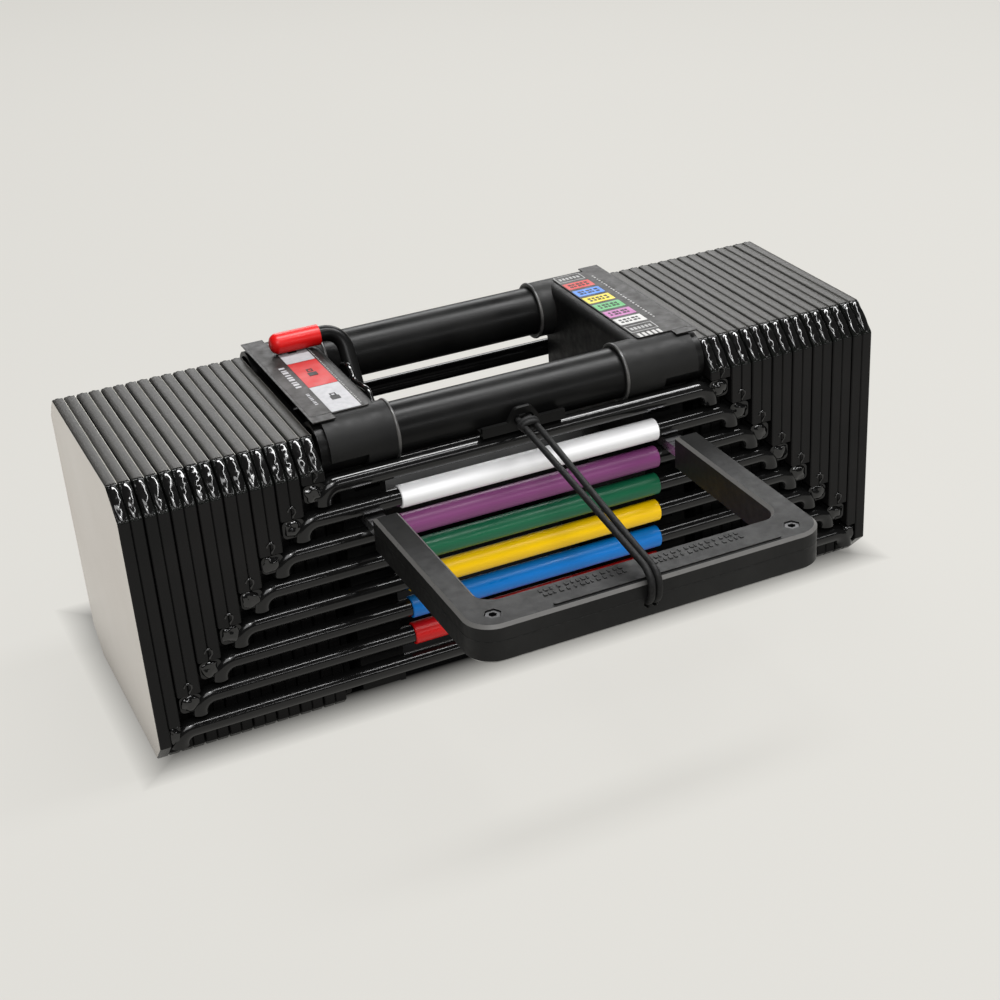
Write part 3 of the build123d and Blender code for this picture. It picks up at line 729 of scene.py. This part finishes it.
def parting_line():
    """The dark joint between the pin's two shells, round the outside of the handle."""
    half, front, back, corner = shell_high.x / MM, -206.0, -84.5, 14.0
    outline = [(-half, back, -1, 0)]
    for middle, turn in ((corner - half, pi), (half - corner, 1.5 * pi)):
        for k in range(17):
            a = turn + k / 16 * pi / 2
            outline.append((middle + corner * cos(a), front + corner + corner * sin(a), cos(a), sin(a)))
    outline.append((half, back, 1, 0))
    shape = bmesh.new()
    rows = []
    for x, y, out_x, out_y in outline:
        section = ((-0.5, -0.32), (0.1, -0.22), (0.1, 0.22), (-0.5, 0.32))
        spots = [at(x + out_x * proud, y + out_y * proud, PARTING_Z + lift) for proud, lift in section]
        rows.append([shape.verts.new(spot) for spot in spots])
    for one, two in zip(rows, rows[1:]):
        for k in range(4):
            shape.faces.new((one[k], one[(k + 1) % 4], two[(k + 1) % 4], two[k]))
    bmesh.ops.recalc_face_normals(shape, faces=shape.faces)
    add_piece("pin_parting_line", shape, inks["dark"], "selector_pin")


moulded_marks()
parting_line()

# ---------------------------------------------------------------- lanyard

CORD_RADIUS = 1.7 * MM
CORD_X = -4.0
TAB_X = -1.5
cord_left = [
    (-5.9, -200.0, 106.8),
    (-5.9, -209.4, 106.8),
    (-5.9, -210.6, 124.4),
    (-5.6, -190.0, 127.2),
    (-4.8, -88.0, 141.1),
    (-4.66, -72.64, 143.17),
    (-4.6, -66.5, 144.0),
]


def across_tab(point):
    """The same point on the cord's other half."""
    x, y, z = point
    at_tab = y > -100
    return (2 * (TAB_X if at_tab else CORD_X) - x, y, z)


def lanyard_line():
    """Points along the smooth line through the cord's route."""
    route = cord_left + [across_tab(point) for point in reversed(cord_left)]
    curve = bpy.data.curves.new("lanyard line", "CURVE")
    curve.dimensions = "3D"
    curve.resolution_u = 24
    spline = curve.splines.new("NURBS")
    spline.points.add(len(route) - 1)
    for point, (x, y, z) in zip(spline.points, route):
        point.co = (*at(x, y, z), 1)
    spline.order_u = 3
    spline.use_endpoint_u = True
    line = bpy.data.objects.new("lanyard line", curve)
    mesh = bpy.data.meshes.new_from_object(line)
    return [vertex.co.copy() for vertex in mesh.vertices]


def tube_along(name, points, radius, sides=16):
    """A closed tube that follows points, with no twist."""
    tube = bmesh.new()
    rings = []
    across = Vector((1, 0, 0))
    for index, point in enumerate(points):
        ahead = points[min(index + 1, len(points) - 1)] - points[max(index - 1, 0)]
        ahead.normalize()
        across = (across - across.project(ahead)).normalized()
        up = ahead.cross(across)
        turns = [2 * pi * k / sides for k in range(sides)]
        rings.append([tube.verts.new(point + radius * (across * cos(a) + up * sin(a))) for a in turns])
    for one, two in zip(rings, rings[1:]):
        for k in range(sides):
            tube.faces.new((one[k], one[(k + 1) % sides], two[(k + 1) % sides], two[k]))
    tube.faces.new(reversed(rings[0]))
    tube.faces.new(rings[-1])
    for face in tube.faces:
        face.smooth = True
    mesh = bpy.data.meshes.new(name)
    tube.to_mesh(mesh)
    tube.free()
    piece = bpy.data.objects.new(name, mesh)
    scene.collection.objects.link(piece)
    return piece


def wrap():
    """The turn of cord that gathers both runs in front of the tab."""
    shape = bmesh.new()
    along = Vector((0, 1, 0.14))
    ring(shape, at(-1.5, -75.4, 142.9), along, (4.6, 2.6), 1.5, sides=16)
    ring(shape, at(-1.6, -77.9, 142.5), along, (4.3, 2.4), 1.4, sides=16)
    return add_piece("lanyard_wrap", shape, looks["elastic"], "core")


cord_points = lanyard_line()
lanyard = tube_along("lanyard_cord", cord_points, CORD_RADIUS)
dress(lanyard, looks["elastic"])
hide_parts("lanyard")
wrap()
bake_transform(lanyard)

# ---------------------------------------------------------------- camera, light and floor

AZIMUTH, ELEVATION, ROLL = -24.403, 29.262, -0.059
AIM = Vector((0, middle_y, 0.082))
SENSOR = 36.0
FOCAL = 64.67


def aim_camera():
    """Camera at the photograph's view of the block."""
    turn, tilt = radians(AZIMUTH), radians(ELEVATION)
    back = Vector((sin(turn) * cos(tilt), -cos(turn) * cos(tilt), sin(tilt)))
    right = Vector((0, 0, 1)).cross(back).normalized()
    up = back.cross(right)
    rolled_right = cos(ROLL) * right + sin(ROLL) * up
    rolled_up = -sin(ROLL) * right + cos(ROLL) * up
    data = bpy.data.cameras.new("camera")
    data.sensor_width = SENSOR
    data.lens = FOCAL
    data.shift_x = -0.0452
    data.shift_y = 0.0418
    camera = bpy.data.objects.new("camera", data)
    place = AIM + 0.03724 * rolled_right - 0.03844 * rolled_up + 0.98986 * back
    turned = Matrix((rolled_right, rolled_up, back)).transposed()
    camera.matrix_world = Matrix.Translation(place) @ turned.to_4x4()
    scene.collection.objects.link(camera)
    scene.camera = camera


def soft_light(name, towards, distance, size, power, tint=(1, 1, 1)):
    """A rectangular studio light that faces the block from a direction."""
    data = bpy.data.lights.new(name, "AREA")
    data.shape = "RECTANGLE"
    data.size, data.size_y = size
    data.energy = power
    data.color = tint
    light = bpy.data.objects.new(name, data)
    direction = Vector(towards).normalized()
    light.location = AIM + distance * direction
    light.rotation_euler = direction.to_track_quat("Z", "Y").to_euler()
    light.visible_camera = False
    scene.collection.objects.link(light)
    return light


def overhead_strip():
    """A long thin light over the block that draws the white line along the rods."""
    data = bpy.data.lights.new("overhead strip", "AREA")
    data.shape = "RECTANGLE"
    data.size, data.size_y = 1.6, 0.30
    data.energy = 42
    light = bpy.data.objects.new("overhead strip", data)
    light.location = AIM + Vector((0.58, -0.05, 1.5))
    light.visible_camera = False
    scene.collection.objects.link(light)


def pale_floor():
    """Pale floor that glows a little, so that it stays even; under and near the block its glow fades and
    its colour turns dark, a painted shadow.
    """
    mesh = bpy.data.meshes.new("floor")
    far = 30.0
    corners = [(-far, -far, 0), (far, -far, 0), (far, far, 0), (-far, far, 0)]
    mesh.from_pydata(corners, [], [(0, 1, 2, 3)])
    floor = bpy.data.objects.new("floor", mesh)
    scene.collection.objects.link(floor)
    m = Shader("floor", base=(0.05, 0.05, 0.048), rough=0.9, Specular_IOR_Level=0.0)
    m.set("Emission Color", (0.807, 0.791, 0.745, 1))
    clouds = m.spread(m.noise(3, detail=2), 0.3, 0.7)
    pale = m.blend(clouds, (0.054, 0.0535, 0.0515), (0.056, 0.0555, 0.0535))
    # Painted shadow: the distance outside the block's footprint, which reaches further behind it, sets a
    # dark, unlit zone on the floor.
    beside = m.math("SUBTRACT", m.math("ABSOLUTE", m.along("X")), half_length)
    behind = m.math("ABSOLUTE", m.math("SUBTRACT", m.along("Y"), middle_y + 20 * MM))
    before = m.math("SUBTRACT", behind, 86 * MM)
    apart = m.math("MAXIMUM", beside, before)
    m.feed(m.bsdf.inputs["Emission Strength"], m.spread(apart, -16 * MM, 14 * MM, 0.0, 0.81))
    m.color(m.blend(m.spread(apart, -16 * MM, 2 * MM), (0.008, 0.008, 0.008), pale))
    dress(floor, m.material)


def surroundings():
    """Dim even studio walls."""
    world = bpy.data.worlds.new("studio")
    world.use_nodes = True
    background = world.node_tree.nodes["Background"]
    background.inputs["Color"].default_value = (0.80, 0.79, 0.77, 1)
    background.inputs["Strength"].default_value = 0.10
    scene.world = world


aim_camera()
surroundings()
pale_floor()
overhead_strip()
soft_light("key", (-0.35, -0.85, 0.75), 1.9, (0.9, 0.9), 14)
soft_light("back sheen", (0.36, 0.80, 0.49), 1.7, (1.3, 0.55), 14)
soft_light("rod line", (0.36, -0.34, 0.87), 1.7, (1.6, 0.08), 11)
soft_light("sparkle", (-0.25, -0.80, 0.85), 1.7, (0.16, 0.16), 4)
soft_light("front kicker", (0.36, -0.88, 0.29), 1.7, (0.9, 0.10), 3)

scene.view_settings.view_transform = "Standard"
scene.view_settings.look = "None"
